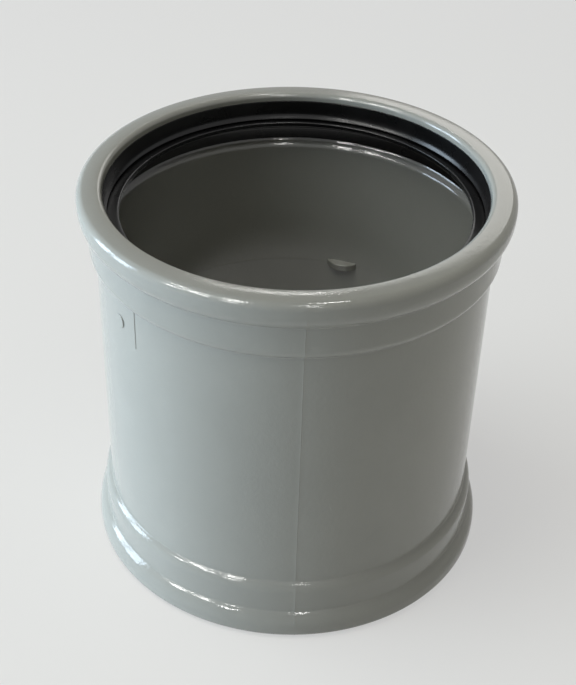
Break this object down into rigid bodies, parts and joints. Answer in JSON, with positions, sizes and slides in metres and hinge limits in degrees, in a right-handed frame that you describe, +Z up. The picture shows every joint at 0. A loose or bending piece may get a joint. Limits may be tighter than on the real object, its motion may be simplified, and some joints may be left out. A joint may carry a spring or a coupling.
{
  "type": "pipe coupling",
  "caption": "Grey PVC double-socket pipe coupling with a rounded bead and a black rubber seal ring at each end, standing on end.",
  "frame": {"origin": "centre of the lower end face, on the floor that the coupling stands on", "axes": "+Z up along the axis of both sockets; the mould seam runs down the -Y and +Y sides"},
  "size_m": [0.1826, 0.1826, 0.179],
  "materials": {
    "grey_pvc": "satin moulded",
    "black_rubber": "smooth"
  },
  "bodies": {
    "root": {"coupling_body": "grey_pvc", "upper_seal_ring": "black_rubber", "lower_seal_ring": "black_rubber"}
  },
  "joints": []
}
